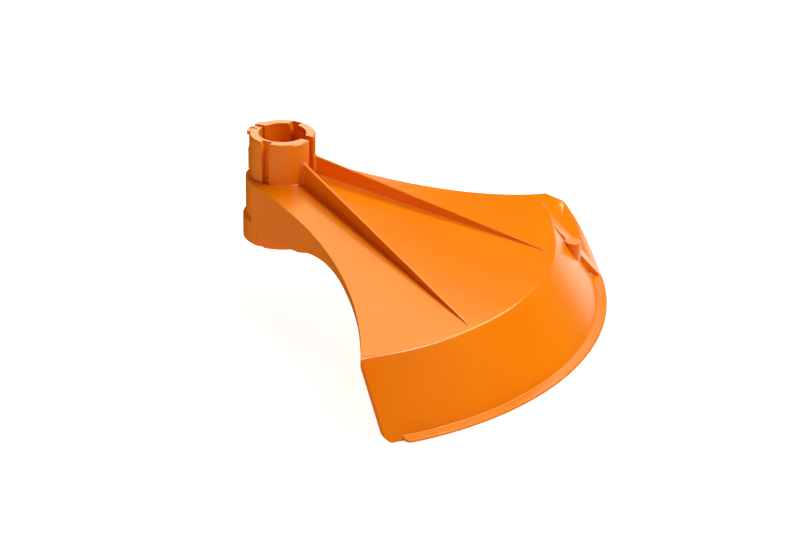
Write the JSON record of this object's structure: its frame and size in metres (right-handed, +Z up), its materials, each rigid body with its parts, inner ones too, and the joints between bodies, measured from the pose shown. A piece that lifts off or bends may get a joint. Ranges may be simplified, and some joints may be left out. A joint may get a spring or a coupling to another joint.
{
  "type": "trimmer blade guard",
  "caption": "Fan-shaped plastic deflector guard for a grass trimmer: a slotted clamp collar for the drive tube, a sloping ribbed plate and a lipped skirt with a flat line-cutter seat.",
  "frame": {"origin": "on the collar's bore axis, level with the collar's lower end", "axes": "+Z up along the drive tube, +X out along the middle of the fan, +Y towards the line-cutter seat"},
  "size_m": [0.1994, 0.238, 0.0919],
  "materials": {
    "orange_plastic": "satin moulded polypropylene, saturated orange"
  },
  "bodies": {
    "root": {"blade_guard": "orange_plastic"}
  },
  "joints": []
}
